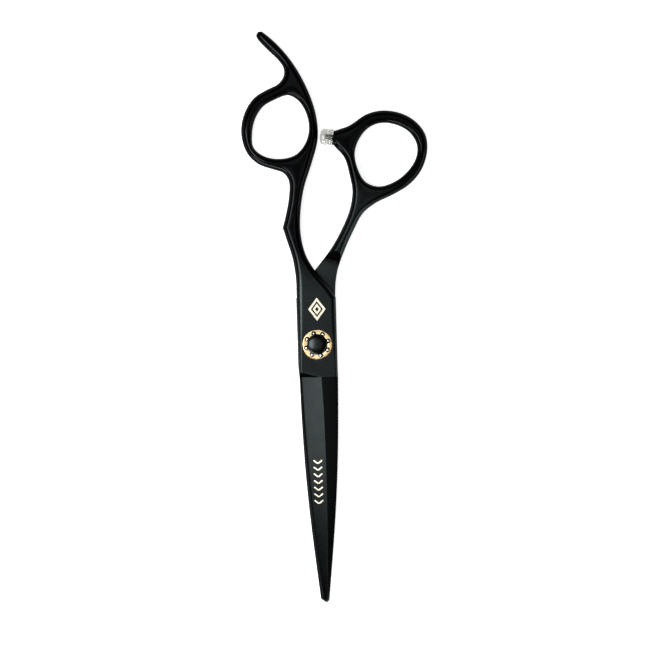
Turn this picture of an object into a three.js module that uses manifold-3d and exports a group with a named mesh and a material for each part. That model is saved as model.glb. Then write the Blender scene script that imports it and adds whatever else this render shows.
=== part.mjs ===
// Hair cutting shears, 6.5 inch class, with an offset pair of ring handles and a fixed finger rest.
//
// Units are millimetres. The shears lie flat and shut: +Z is up, the blades point along -Y, and the origin is
// where the pivot's axis meets the surface that they lie on. The finger half is the upper one and the thumb
// half the lower one. Each half is one forging: ring, shank, pivot plate and blade. They turn on a two-piece
// pivot: a domed barrel that runs on eight exposed balls, and a screw that is set from underneath.

import * as THREE from 'three';
import { mergeVertices } from 'three/addons/utils/BufferGeometryUtils.js';
import Module from 'manifold-3d';

const wasm = await Module();
wasm.setup();

// ---- Driving dimensions ----

const STACK = 6.0; // both pivot plates together, from the rest surface to the upper plate's top
const PARTING = STACK / 2; // the plane between the halves
const HALF_GAP = 0.1; // from that plane to the inner face of each half
const PLATE = PARTING - HALF_GAP; // thickness of one pivot plate
const LOWER_TOP = PLATE; // the thumb half's inner face
const UPPER_BOTTOM = PARTING + HALF_GAP; // the finger half's inner face

const EDGE_WIDTH = 1.1; // rounding of the handles, measured across
const EDGE_HEIGHT = 1.9; // and measured up
const RING_THICKNESS = 5.6; // rings and shanks
const TANG_THICKNESS = 4.2; // the finger rest at its tip
const FACETS = 3; // along an outline, from one of its points to the next

const PLATE_WIDE = 6.4; // from the pivot to a plate's spine side
const PLATE_NARROW = 6.25; // from the pivot to its cutting edge side
const PLATE_TOP_Y = 15.0; // where a plate's spine side meets the diagonal of its neck

const TIP_Y = -83.05; // the finger blade's tip
const THUMB_TIP_SHORT = 0.6; // the thumb blade stops this much short of it
const THUMB_SET = 0.35; // and, shut, lies this much further in than the finger blade turned over would
const TIP_RADIUS = 1.08;
const BLADE_ROOT_Y = -8.0; // the blades start inside the plates
const ROOT_RIDGE = PLATE - 0.02; // height of a blade's ridge above its inner face, at the root
const TIP_RIDGE = 1.25; // and at the tip
const SPINE_SHARE = 0.6; // a spine's height, as a share of the ridge's
const EDGE_LAND = 0.1; // thickness left at the cutting edge
const FACET_CROWN = 0.58; // height half way up the wide facet, as a share of the ridge's

const RELIEF_RADIUS = 4.5; // where a shank steps down to its plate
const RELIEF_AT = new THREE.Vector2(6.9, 28.9); // middle of the thumb half's step
const RELIEF_SLANT = THREE.MathUtils.degToRad(-18); // the step's slant, seen from above

const BALLS = 8;
const BALL_RADIUS = 0.55;
const BALL_CIRCLE = 3.67;
const BALL_Z = STACK + 0.25;
const FIRST_BALL = THREE.MathUtils.degToRad(16);
const RACE_GAP = 0.06; // running clearance of a ball in its race

const BUMPER_ANGLE = THREE.MathUtils.degToRad(171); // the way the bumper points
const BOSS_FACE = new THREE.Vector2(6.9, 66.4); // centre of the boss's end face, seen from above
const BOSS_RADIUS = 2.4;
const BUMPER_RADIUS = 2.7;
const BUMPER_LENGTH = 4.2;

// ---- Materials ----

const material = (color, roughness, metalness) => new THREE.MeshStandardMaterial({ color, roughness, metalness });
const blackCoat = material(0x16191a, 0.32, 0.6);
const blackPolish = material(0x0c0f10, 0.12, 0.5);
const gold = material(0xe8c070, 0.22, 1.0);
const steel = material(0xc9ccce, 0.2, 1.0);
const bronze = material(0xa8793f, 0.35, 1.0);
const polymer = material(0xe9e6da, 0.5, 0.0);
const silicone = material(0xdcddd2, 0.25, 0.0);

// ---- Solids ----

// A closed geometry, with its vertices merged and its faces turned outwards, as a manifold-3d solid.
function solid(geometry) {
  const bare = geometry.index ? geometry.toNonIndexed() : geometry.clone();
  bare.deleteAttribute('normal');
  bare.deleteAttribute('uv');
  const merged = mergeVertices(bare, 1e-4);
  const vertProperties = new Float32Array(merged.attributes.position.array);
  const triVerts = new Uint32Array(merged.index.array);
  if (signedVolume(vertProperties, triVerts) < 0) {
    for (let i = 0; i < triVerts.length; i += 3) {
      [triVerts[i + 1], triVerts[i + 2]] = [triVerts[i + 2], triVerts[i + 1]];
    }
  }
  return new wasm.Manifold(new wasm.Mesh({ numProp: 3, vertProperties, triVerts }));
}

function signedVolume(vertices, triangles) {
  const [a, b, c] = [new THREE.Vector3(), new THREE.Vector3(), new THREE.Vector3()];
  let volume = 0;
  for (let i = 0; i < triangles.length; i += 3) {
    a.fromArray(vertices, 3 * triangles[i]);
    b.fromArray(vertices, 3 * triangles[i + 1]);
    c.fromArray(vertices, 3 * triangles[i + 2]);
    volume += a.dot(b.cross(c)) / 6;
  }
  return volume;
}

function mesh(name, shape, finish) {
  const { numProp, vertProperties, triVerts } = shape.getMesh();
  const geometry = new THREE.BufferGeometry();
  const interleaved = new THREE.InterleavedBuffer(vertProperties, numProp);
  geometry.setAttribute('position', new THREE.InterleavedBufferAttribute(interleaved, 3, 0));
  geometry.setIndex(new THREE.BufferAttribute(triVerts, 1));
  const made = new THREE.Mesh(geometry.toNonIndexed(), finish);
  made.geometry.computeVertexNormals();
  made.name = name;
  return made;
}

// A cylinder about the pivot's axis, or about (x, y).
function cylinder(radius, bottom, top, x = 0, y = 0, sides = 40) {
  const geometry = new THREE.CylinderGeometry(radius, radius, top - bottom, sides);
  geometry.rotateX(Math.PI / 2);
  geometry.translate(x, y, (bottom + top) / 2);
  return solid(geometry);
}

function box([x0, y0, z0], [x1, y1, z1]) {
  const geometry = new THREE.BoxGeometry(x1 - x0, y1 - y0, z1 - z0);
  geometry.translate((x0 + x1) / 2, (y0 + y1) / 2, (z0 + z1) / 2);
  return solid(geometry);
}

// A profile of [radius, z] pairs turned about the pivot's axis. It starts and ends on the axis, or closes on itself.
function turned(profile, sides = 40) {
  const geometry = new THREE.LatheGeometry(profile.map(([r, z]) => new THREE.Vector2(r, z)), sides);
  geometry.rotateX(Math.PI / 2);
  return solid(geometry);
}

// [radius, z] pairs on an arc about a centre in that same plane.
function arc([r, z], radius, from, to, steps) {
  return Array.from({ length: steps + 1 }, (_, i) => {
    const angle = THREE.MathUtils.degToRad(from + (to - from) * i / steps);
    return [r + radius * Math.cos(angle), z + radius * Math.sin(angle)];
  });
}

// ---- Outlines ----

// A smooth curve through the points, cut into facets.
function curve(points, closed = false) {
  const spline = new THREE.CatmullRomCurve3(
    points.map(([x, y]) => new THREE.Vector3(x, y, 0)), closed, 'centripetal');
  const spans = closed ? points.length : points.length - 1;
  return spline.getPoints(FACETS * spans).map(({ x, y }) => new THREE.Vector2(x, y));
}

// Stretches joined at corners: each starts where the one before it ends, and the last one ends at the first's start.
const joined = (...stretches) => stretches.flatMap((stretch) => stretch.slice(0, -1));
const straight = (from, to) => [new THREE.Vector2(...from), new THREE.Vector2(...to)];

// The end of a pivot plate is a shallow V whose point lies under the blade's ridge.
const V_SPINE = [PLATE_WIDE - 0.05, -10.8];
const V_POINT = [1.3, -11.2];
const V_EDGE = [-PLATE_NARROW + 0.1, -9.6];
const NECK = [PLATE_WIDE, PLATE_TOP_Y];
const CUSP = [-10.1, 37.8];
const LEFT_SHOULDER = [-PLATE_NARROW, 20.0];
const mirrored = ([x, y]) => [-x, y];

const fingerOutline = joined(
  straight(V_SPINE, NECK),
  curve([ // neck, shank and ring on the thumb's side, then the back of the finger rest and its round tip
    NECK, [4.1, 18.5], [0.1, 23.6], [-2.7, 28.6], [-4.2, 35.0], [-4.2, 42.0], [-2.8, 50.4], [-0.2, 58.0],
    [1.9, 65.0], [2.2, 70.0], [1.2, 76.4], [-1.6, 84.1], [-5.4, 91.0], [-9.8, 96.6], [-14.1, 100.6],
    [-15.2, 101.3], [-16.3, 101.0], [-16.8, 99.9], [-16.3, 98.7], [-13.2, 95.2], [-9.9, 91.8],
    [-8.3, 89.2], [-8.4, 86.6], [-10.2, 84.2], [-14.2, 82.3], [-18.0, 80.0], [-20.9, 76.0], [-22.4, 71.2],
    [-22.3, 66.3], [-20.5, 61.6], [-16.9, 58.3], [-12.3, 56.6], [-9.3, 55.4], [-7.7, 52.9], [-7.7, 48.4],
    [-8.9, 42.2], CUSP,
  ]),
  curve([CUSP, [-8.9, 33.8], [-7.2, 27.9], [-6.4, 22.6], LEFT_SHOULDER]),
  straight(LEFT_SHOULDER, V_EDGE),
  straight(V_EDGE, V_POINT),
  straight(V_POINT, V_SPINE),
);

const fingerHole = curve([
  [-7.1, 80.4], [-3.9, 78.6], [-1.5, 74.6], [-0.7, 69.6], [-1.9, 65.1], [-5.2, 61.3], [-10.2, 60.1],
  [-15.3, 61.1], [-18.6, 63.9], [-19.0, 68.0], [-17.9, 73.0], [-15.2, 77.0], [-11.4, 79.1],
], true).slice(0, -1);

const BOSS_HALF = new THREE.Vector2(0, BOSS_RADIUS).rotateAround(new THREE.Vector2(), BUMPER_ANGLE - Math.PI);
const BOSS_UPPER = BOSS_FACE.clone().add(BOSS_HALF).toArray();
const BOSS_LOWER = BOSS_FACE.clone().sub(BOSS_HALF).toArray();
const RIGHT_SHOULDER = [PLATE_NARROW, 15.0];

const thumbOutline = joined(
  straight(mirrored(V_EDGE), RIGHT_SHOULDER),
  curve([ // outside of the shank and the ring, round to the boss
    RIGHT_SHOULDER, [6.5, 19.5], [7.4, 24.2], [9.8, 30.3], [12.9, 36.6], [16.0, 41.8], [20.3, 45.0],
    [25.9, 47.5], [31.3, 50.7], [35.2, 55.2], [37.2, 61.0], [36.9, 66.2], [34.2, 70.4], [29.5, 73.5],
    [23.0, 74.7], [17.6, 73.5], [12.9, 70.5], [10.2, 69.4], BOSS_UPPER,
  ]),
  straight(BOSS_UPPER, BOSS_LOWER),
  curve([ // inside of the shank, down to the neck
    BOSS_LOWER, [8.8, 62.0], [10.7, 59.2], [11.9, 54.4], [12.7, 49.0], [11.7, 43.2], [8.9, 36.8],
    [5.2, 30.6], [0.1, 24.1], [-4.1, 18.5], mirrored(NECK),
  ]),
  straight(mirrored(NECK), mirrored(V_SPINE)),
  straight(mirrored(V_SPINE), mirrored(V_POINT)),
  straight(mirrored(V_POINT), mirrored(V_EDGE)),
);

const thumbHole = curve([
  [22.6, 70.6], [27.4, 69.9], [31.7, 67.3], [33.9, 63.2], [33.4, 58.9], [30.4, 54.6], [26.0, 51.5],
  [21.2, 50.3], [17.1, 51.9], [14.8, 55.9], [13.9, 61.2], [15.4, 65.6], [18.6, 69.2],
], true).slice(0, -1);

// ---- Handles and pivot plates ----

// How thick a handle is at a place, as a share of the stack.
function thicknessShare(y) {
  const { smoothstep, lerp } = THREE.MathUtils;
  const ring = lerp(1, RING_THICKNESS / STACK, smoothstep(y, 18, 45));
  return lerp(ring, TANG_THICKNESS / STACK, smoothstep(y, 80, 100));
}

// An outline with its ring's hole, rounded along every edge, as thick as both halves together.
function handle(outline, hole) {
  const shape = new THREE.Shape(outline);
  shape.holes.push(new THREE.Path(hole));
  const geometry = new THREE.ExtrudeGeometry(shape, {
    depth: STACK - 2 * EDGE_HEIGHT,
    bevelThickness: EDGE_HEIGHT,
    bevelSize: EDGE_WIDTH,
    bevelOffset: -EDGE_WIDTH,
    bevelSegments: 3,
  });
  geometry.translate(0, 0, EDGE_HEIGHT);
  const position = geometry.attributes.position;
  for (let i = 0; i < position.count; i++) {
    const z = PARTING + (position.getZ(i) - PARTING) * thicknessShare(position.getY(i));
    position.setZ(i, z);
  }
  return solid(geometry);
}

// What is milled off the inner side of the thumb half, so that the other half lies on it. It ends in a round step.
function relief() {
  const reach = 60;
  const drop = STACK - LOWER_TOP;
  const run = Math.sqrt(RELIEF_RADIUS ** 2 - (RELIEF_RADIUS - drop) ** 2);
  const round = new THREE.CylinderGeometry(RELIEF_RADIUS, RELIEF_RADIUS, reach, 48);
  round.rotateZ(Math.PI / 2);
  round.translate(0, -run, LOWER_TOP + RELIEF_RADIUS);
  const flat = box([-reach / 2, -reach, LOWER_TOP], [reach / 2, -run, LOWER_TOP + 2 * RELIEF_RADIUS]);
  return solid(round).add(flat)
    .rotate([0, 0, THREE.MathUtils.radToDeg(RELIEF_SLANT)])
    .translate([RELIEF_AT.x, RELIEF_AT.y, 0]);
}

// The finger half is laid out as the thumb half is, turned over about the blades' line.
const turnedOver = (shape) => shape.translate([0, 0, -PARTING]).rotate([0, 180, 0]).translate([0, 0, PARTING]);

// ---- Blades ----

const SPINE_LINE = curve([[6.4, -8], [6.2, -20], [5.6, -36], [4.5, -53], [3.05, -68], [1.56, -82]]);
const EDGE_LINE = curve([[-6.0, -8], [-5.55, -20], [-4.6, -36], [-3.45, -53], [-2.1, -68], [-0.6, -82]]);
const RIDGE_LINE = curve([[0.8, -8], [1.36, -19], [1.61, -32], [1.64, -55], [1.35, -70], [0.8, -82]]);

function acrossAt(points, y) {
  const after = Math.max(1, points.findIndex((p) => p.y <= y));
  const [a, b] = [points[after - 1], points[after]];
  return THREE.MathUtils.lerp(a.x, b.x, THREE.MathUtils.clamp((y - a.y) / (b.y - a.y), 0, 1));
}

// The finger blade's section at y, as [x, height above the inner face] pairs.
function bladeSection(y, low, high) {
  const share = (y - BLADE_ROOT_Y) / (TIP_Y - BLADE_ROOT_Y);
  const ridge = THREE.MathUtils.lerp(ROOT_RIDGE, TIP_RIDGE, share);
  const ridgeX = THREE.MathUtils.clamp(acrossAt(RIDGE_LINE, y), low + 0.55 * (high - low), high - 0.1 * (high - low));
  return [
    [low, 0], [high, 0], [high, SPINE_SHARE * ridge], [ridgeX, ridge],
    [(low + ridgeX) / 2, FACET_CROWN * ridge], [low, EDGE_LAND],
  ];
}

function blade(tipY) {
  const tipStart = tipY + TIP_RADIUS;
  const rows = [];
  const stretch = [-8, -12, -17, -24, -32, -40, -48, -56, -63, -69, -74, -78];
  for (const y of [...stretch, tipStart]) {
    rows.push({ y, section: bladeSection(y, acrossAt(EDGE_LINE, y), acrossAt(SPINE_LINE, y)) });
  }
  const middle = (acrossAt(EDGE_LINE, tipStart) + acrossAt(SPINE_LINE, tipStart)) / 2;
  const width = acrossAt(SPINE_LINE, tipStart) - middle;
  for (const degrees of [20, 40, 60, 75, 86]) {
    const angle = THREE.MathUtils.degToRad(degrees);
    const y = tipStart - TIP_RADIUS * Math.sin(angle);
    rows.push({ y, section: bladeSection(y, middle - width * Math.cos(angle), middle + width * Math.cos(angle)) });
  }
  const vertices = rows.flatMap(({ y, section }) => section.flatMap(([x, height]) => [x, y, UPPER_BOTTOM + height]));
  const sides = rows[0].section.length;
  const index = [];
  for (let row = 0; row + 1 < rows.length; row++) {
    for (let i = 0; i < sides; i++) {
      const [a, b] = [row * sides + i, row * sides + (i + 1) % sides];
      index.push(a, b, b + sides, a, b + sides, a + sides);
    }
  }
  const last = (rows.length - 1) * sides;
  for (let i = 1; i + 1 < sides; i++) {
    index.push(0, i + 1, i, last, last + i, last + i + 1);
  }
  const geometry = new THREE.BufferGeometry();
  geometry.setAttribute('position', new THREE.Float32BufferAttribute(vertices, 3));
  geometry.setIndex(index);
  return solid(geometry);
}

// ---- The two halves ----

const BARREL_RADIUS = 1.9;
const BUSH_INNER = 2.0;
const BUSH_OUTER = 2.55;
const BUSH_BORE = 2.6;
const CUP_SEAT = 4.5; // floor of the finger half's counterbore
const CUP_SEAT_RADIUS = 4.65;
const SCREW_SEAT = 1.5; // floor of the thumb half's counterbore, underneath
const SCREW_SEAT_RADIUS = 3.4;
const RIDE_SEAT = 2.5; // floor of the recess for the washer between the halves
const RIDE_SEAT_RADIUS = 4.6;
const KEY_HALF = 1.65; // half the width across the thumb half's keyed bore
const STUD_HOLE = 1.1;
const STUD_DEPTH = 4.0;

// Turns a shape made along +Z from the origin so that it points the bumper's way from the boss's end face.
const atBoss = (shape) => shape
  .rotate([0, 90, 0])
  .rotate([0, 0, THREE.MathUtils.radToDeg(BUMPER_ANGLE)])
  .translate([BOSS_FACE.x, BOSS_FACE.y, PARTING]);

function fingerHalf() {
  return handle(fingerOutline, fingerHole)
    .subtract(turnedOver(relief()))
    .add(blade(TIP_Y))
    .subtract(cylinder(BUSH_BORE, 0, STACK + 1))
    .subtract(cylinder(CUP_SEAT_RADIUS, CUP_SEAT, STACK + 1));
}

function thumbHalf() {
  const keyedBore = cylinder(BUSH_INNER, -1, STACK)
    .intersect(box([-KEY_HALF, -3, -2], [KEY_HALF, 3, STACK + 1]));
  return handle(thumbOutline, thumbHole)
    .add(atBoss(cylinder(BOSS_RADIUS, -5, 0, 0, 0, 24)))
    .subtract(relief())
    .add(turnedOver(blade(TIP_Y + THUMB_TIP_SHORT)).translate([THUMB_SET, 0, 0]))
    .subtract(keyedBore)
    .subtract(cylinder(SCREW_SEAT_RADIUS, -1, SCREW_SEAT))
    .subtract(cylinder(RIDE_SEAT_RADIUS, RIDE_SEAT, STACK))
    .subtract(atBoss(cylinder(STUD_HOLE, -STUD_DEPTH, 1, 0, 0, 16)));
}

// ---- Pivot ----

const BARREL_BOTTOM = 1.6;
const HEAD_RADIUS = 3.2;
const HEAD_RIM_TOP = 6.85;
const HEAD_TOP = 8.0;
const THREAD_RADIUS = 1.05;
const THREAD_TOP = 5.0;

// Where the head's 45 degree cone runs: radius minus z is the same all along it.
const CONE = BALL_CIRCLE - BALL_Z - (BALL_RADIUS + RACE_GAP) * Math.SQRT2;
const CONE_FOOT = 2.3;

function pivotBarrel() {
  const rise = HEAD_TOP - HEAD_RIM_TOP;
  const domeRadius = (HEAD_RADIUS ** 2 + rise ** 2) / (2 * rise);
  const domeCentre = HEAD_TOP - domeRadius;
  const rimAngle = THREE.MathUtils.radToDeg(Math.asin((HEAD_RIM_TOP - domeCentre) / domeRadius));
  const dome = arc([0, domeCentre], domeRadius, rimAngle, 90, 6).slice(0, -1);
  const profile = [
    [0, THREAD_TOP], [THREAD_RADIUS, THREAD_TOP], [THREAD_RADIUS, BARREL_BOTTOM], [BARREL_RADIUS, BARREL_BOTTOM],
    [BARREL_RADIUS, CONE_FOOT - CONE], [CONE_FOOT, CONE_FOOT - CONE], [HEAD_RADIUS, HEAD_RADIUS - CONE],
    ...dome, [0, HEAD_TOP],
  ];
  const keyWidth = KEY_HALF - 0.1;
  const flats = box([keyWidth, -3, 0], [4, 3, LOWER_TOP]).add(box([-4, -3, 0], [-keyWidth, 3, LOWER_TOP]));
  return turned(profile).subtract(flats);
}

function bearingCup() {
  const top = STACK - 0.02;
  const groove = BALL_RADIUS + RACE_GAP;
  const lip = THREE.MathUtils.radToDeg(Math.asin((BALL_Z - top) / groove));
  return turned([
    [2.7, CUP_SEAT + 0.05], [CUP_SEAT_RADIUS - 0.1, CUP_SEAT + 0.05], [CUP_SEAT_RADIUS - 0.1, top],
    ...arc([BALL_CIRCLE, BALL_Z], groove, -lip, -180 + lip, 6),
    [2.7, top], [2.7, CUP_SEAT + 0.05],
  ]);
}

const ballPlace = (i) => {
  const angle = FIRST_BALL + i * 2 * Math.PI / BALLS;
  return [BALL_CIRCLE * Math.cos(angle), BALL_CIRCLE * Math.sin(angle)];
};

function ballCage() {
  const [inner, outer, bottom, top, chamfer] = [3.3, 4.85, STACK + 0.06, STACK + 0.62, 0.18];
  let cage = turned([
    [inner, bottom], [outer, bottom], [outer, top - chamfer], [outer - chamfer, top], [inner, top], [inner, bottom],
  ], 48);
  for (let i = 0; i < BALLS; i++) {
    cage = cage.subtract(cylinder(BALL_RADIUS + 0.1, STACK, STACK + 1, ...ballPlace(i), 16));
  }
  return cage;
}

const ball = () => solid(new THREE.SphereGeometry(BALL_RADIUS, 10, 7));

const bush = () => turned([
  [BUSH_INNER, UPPER_BOTTOM + 0.05], [BUSH_OUTER, UPPER_BOTTOM + 0.05], [BUSH_OUTER, CUP_SEAT - 0.05],
  [BUSH_INNER, CUP_SEAT - 0.05], [BUSH_INNER, UPPER_BOTTOM + 0.05],
]);

const rideWasher = () => turned([
  [2.05, RIDE_SEAT + 0.05], [RIDE_SEAT_RADIUS - 0.1, RIDE_SEAT + 0.05], [RIDE_SEAT_RADIUS - 0.1, UPPER_BOTTOM - 0.05],
  [2.05, UPPER_BOTTOM - 0.05], [2.05, RIDE_SEAT + 0.05],
]);

// A conical spring washer. It presses on the screw's head at its inner edge and on the seat at its outer edge.
const springWasher = () => turned([
  [1.1, 1.02], [3.2, 1.27], [3.2, 1.45], [1.1, 1.2], [1.1, 1.02],
], 32);

function tensionScrew() {
  const [headRadius, headTop, shankRadius, shankTop, chamfer] = [3.3, 0.95, 0.95, 4.6, 0.2];
  const [pinHole, pinHoleAt, pinHoleDepth] = [0.4, 1.9, 0.65];
  return turned([
    [0, 0], [headRadius - chamfer, 0], [headRadius, chamfer], [headRadius, headTop], [shankRadius, headTop],
    [shankRadius, shankTop - chamfer], [shankRadius - chamfer, shankTop], [0, shankTop],
  ])
    .subtract(cylinder(pinHole, -1, pinHoleDepth, pinHoleAt, 0, 12))
    .subtract(cylinder(pinHole, -1, pinHoleDepth, -pinHoleAt, 0, 12));
}

// ---- Bumper ----

// A soft ribbed cap, with a dome that meets the other ring and a blind hole for its stud.
function bumper() {
  const [start, hole, holeDepth, groove] = [0.15, STUD_HOLE, 2.6, 0.3];
  const shoulder = BUMPER_LENGTH - 1.4;
  return turned([
    [0, holeDepth], [hole, holeDepth], [hole, start], [BUMPER_RADIUS - groove, start], [BUMPER_RADIUS, start + 0.3],
    [BUMPER_RADIUS, start + 1.1], [BUMPER_RADIUS - groove, start + 1.3], [BUMPER_RADIUS, start + 1.5],
    [BUMPER_RADIUS, shoulder], [BUMPER_RADIUS * 0.86, shoulder + 0.7], [BUMPER_RADIUS * 0.55, shoulder + 1.2],
    [0, BUMPER_LENGTH],
  ], 32);
}

const bumperStud = () => turned([
  [0, -STUD_DEPTH + 0.2], [1.0, -STUD_DEPTH + 0.2], [1.0, 0.9], [0.75, 1.1], [0.75, 1.4], [1.0, 1.6], [0.7, 2.45],
  [0, 2.45],
], 16);

// ---- Assembly ----

const shears = new THREE.Group();

shears.add(
  mesh('finger_blade', fingerHalf(), blackCoat),
  mesh('thumb_blade', thumbHalf(), blackCoat),
  mesh('pivot_barrel', pivotBarrel(), blackPolish),
  mesh('tension_screw', tensionScrew(), steel),
  mesh('spring_washer', springWasher(), steel),
  mesh('ride_washer', rideWasher(), polymer),
  mesh('pivot_bush', bush(), bronze),
  mesh('bearing_cup', bearingCup(), steel),
  mesh('ball_cage', ballCage(), gold),
  mesh('bumper_stud', atBoss(bumperStud()), steel),
  mesh('bumper', atBoss(bumper()), silicone),
);

for (let i = 0; i < BALLS; i++) {
  const bearingBall = mesh(`bearing_ball_${i + 1}`, ball(), steel);
  bearingBall.position.set(...ballPlace(i), BALL_Z);
  shears.add(bearingBall);
}

export default shears;
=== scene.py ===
"""Looks for the hair cutting shears: black-coated halves, a gold ball cage, a domed pivot and a clear bumper.

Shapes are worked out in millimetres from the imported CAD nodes, and scaled to metres as each mesh is made.
The two halves are rebuilt from the CAD's own outlines, with finer facets and truer edges.
"""

import math

import bmesh
import bpy
import numpy as np
from mathutils import Matrix, Vector, geometry, kdtree


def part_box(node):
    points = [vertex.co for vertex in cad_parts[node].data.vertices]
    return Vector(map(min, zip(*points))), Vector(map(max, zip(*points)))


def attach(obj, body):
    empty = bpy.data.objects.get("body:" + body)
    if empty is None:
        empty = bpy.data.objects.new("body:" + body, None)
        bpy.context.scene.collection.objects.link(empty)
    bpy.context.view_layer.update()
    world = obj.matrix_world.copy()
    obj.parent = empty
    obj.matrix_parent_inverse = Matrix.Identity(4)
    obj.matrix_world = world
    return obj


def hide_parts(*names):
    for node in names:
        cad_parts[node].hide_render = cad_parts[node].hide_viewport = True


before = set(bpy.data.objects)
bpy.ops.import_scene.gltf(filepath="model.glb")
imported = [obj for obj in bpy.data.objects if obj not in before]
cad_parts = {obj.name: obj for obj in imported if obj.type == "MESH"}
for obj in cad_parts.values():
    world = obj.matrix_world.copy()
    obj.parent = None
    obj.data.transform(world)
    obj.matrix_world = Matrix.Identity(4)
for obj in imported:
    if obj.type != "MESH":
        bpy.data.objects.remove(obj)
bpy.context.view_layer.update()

MM = 0.001
TURN = 2 * math.pi


def box_mm(node):
    """A CAD node's lowest and highest corners, in millimetres."""
    low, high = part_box(node)
    return np.array(low) / MM, np.array(high) / MM


def node_points(node):
    """A CAD node's vertices, in millimetres."""
    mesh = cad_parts[node].data
    points = np.zeros(len(mesh.vertices) * 3, np.float32)
    mesh.vertices.foreach_get("co", points)
    return points.reshape(-1, 3).astype(float) / MM


# ---- Sizes taken from the frame, in millimetres ----

STACK = box_mm("finger_blade")[1][2]  # thickness of the two pivot plates and the gap between them
MIDDLE = STACK / 2
INNER = MIDDLE + 0.1  # the finger half's inner face; the thumb half's is as far below the middle
BARREL_LOW, BARREL_HIGH = box_mm("pivot_barrel")
CAGE_LOW, CAGE_HIGH = box_mm("ball_cage")
CUP_LOW, CUP_HIGH = box_mm("bearing_cup")
SCREW_HIGH = box_mm("tension_screw")[1]

# ---- Meshes ----


def made(name, points, faces):
    """A mesh object from points in millimetres."""
    mesh = bpy.data.meshes.new(name)
    mesh.from_pydata([tuple(float(c) * MM for c in p) for p in points], [], faces)
    mesh.validate()
    part = bpy.data.objects.new(name, mesh)
    bpy.context.scene.collection.objects.link(part)
    return part


def edit(part, work=None):
    """Runs a function on the part's mesh, if there is one, and turns the mesh's faces outwards."""
    shape = bmesh.new()
    shape.from_mesh(part.data)
    if work:
        work(shape)
    bmesh.ops.recalc_face_normals(shape, faces=shape.faces)
    if shape.calc_volume(signed=True) < 0:
        bmesh.ops.reverse_faces(shape, faces=shape.faces)
    shape.to_mesh(part.data)
    shape.free()
    return part


def tidied(part, gap=0.0005):
    """Merges vertices closer than the gap, in millimetres."""
    def work(shape):
        bmesh.ops.remove_doubles(shape, verts=shape.verts, dist=gap * MM)
        bmesh.ops.dissolve_degenerate(shape, edges=shape.edges, dist=gap * MM)
    return edit(part, work)


def smooth(part, degrees):
    """Smooth shading, with creases left where faces meet at more than this angle."""
    part.data.shade_smooth()
    part.data.set_sharp_from_angle(angle=math.radians(degrees))


def combine(part, other, operation):
    """Adds another closed solid to this one, or cuts it away, and removes the other."""
    modifier = part.modifiers.new("cut", "BOOLEAN")
    modifier.operation = operation
    modifier.solver = "MANIFOLD"
    modifier.object = other
    bpy.context.view_layer.update()
    result = bpy.data.meshes.new_from_object(
        part.evaluated_get(bpy.context.evaluated_depsgraph_get()))
    part.modifiers.clear()
    part.data = result
    bpy.data.objects.remove(other)
    return part


def turned(name, profile, sides=96, axis_point=(0, 0, 0), axis=(0, 0, 1)):
    """A profile of (radius, height) pairs, a closed loop or one that starts and ends on the axis, turned about it."""
    points, faces, rings = [], [], []
    closed = profile[0][0] > 1e-6
    for radius, height in profile:
        if radius < 1e-6:
            rings.append([len(points)] * sides)
            points.append((0, 0, height))
            continue
        rings.append([len(points) + i for i in range(sides)])
        points += [(radius * math.cos(TURN * i / sides), radius * math.sin(TURN * i / sides), height)
                   for i in range(sides)]
    pairs = list(zip(rings, rings[1:])) + ([(rings[-1], rings[0])] if closed else [])
    for lower, upper in pairs:
        for i in range(sides):
            j = (i + 1) % sides
            corners = [lower[i], lower[j], upper[j], upper[i]]
            face = [c for k, c in enumerate(corners) if c not in corners[:k]]
            if len(face) > 2:
                faces.append(face)
    turn = Vector((0, 0, 1)).rotation_difference(Vector(axis)).to_matrix()
    points = [turn @ Vector(p) + Vector(axis_point) for p in points]
    return edit(made(name, points, faces))


def rounded(profile, radius=0.06, steps=3):
    """A profile with its corners away from the axis rounded by a small radius."""
    result = []
    count = len(profile)
    closed = profile[0][0] > 1e-6
    for i, here in enumerate(profile):
        if here[0] < 1e-6 or (not closed and i in (0, count - 1)):
            result.append(here)
            continue
        here = np.array(here, float)
        before = np.array(profile[i - 1], float) - here
        after = np.array(profile[(i + 1) % count], float) - here
        reach = min(radius, 0.4 * np.linalg.norm(before), 0.4 * np.linalg.norm(after))
        start = here + before / np.linalg.norm(before) * reach
        end = here + after / np.linalg.norm(after) * reach
        for k in range(steps + 1):
            share = k / steps
            result.append(tuple((1 - share) ** 2 * start + 2 * share * (1 - share) * here + share ** 2 * end))
    return result


# ---- Outlines, read from the CAD solids ----


def slice_loops(node, height):
    """The loops in which the plane at this height cuts a CAD node."""
    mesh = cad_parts[node].data
    mesh.calc_loop_triangles()
    points = node_points(node)
    neighbours = {}
    for triangle in mesh.loop_triangles:
        corners = sorted(tuple(points[i]) for i in triangle.vertices)
        ends = []
        for a, b in ((corners[0], corners[1]), (corners[0], corners[2]), (corners[1], corners[2])):
            if (a[2] > height) != (b[2] > height):
                share = (height - a[2]) / (b[2] - a[2])
                ends.append((round(a[0] + share * (b[0] - a[0]), 4), round(a[1] + share * (b[1] - a[1]), 4)))
        if len(ends) == 2 and ends[0] != ends[1]:
            neighbours.setdefault(ends[0], []).append(ends[1])
            neighbours.setdefault(ends[1], []).append(ends[0])
    loops = []
    while neighbours:
        here = next(iter(neighbours))
        loop = []
        while here in neighbours:
            loop.append(here)
            after = [p for p in neighbours.pop(here) if p in neighbours]
            here = after[0] if after else None
        loops.append(np.array(loop))
    return loops


def turning(loop):
    """How far the direction turns at each point of a loop, in degrees, and which way."""
    before = loop - np.roll(loop, 1, axis=0)
    after = np.roll(loop, -1, axis=0) - loop
    cross = before[:, 0] * after[:, 1] - before[:, 1] * after[:, 0]
    return np.degrees(np.arctan2(cross, (before * after).sum(1)))


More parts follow.
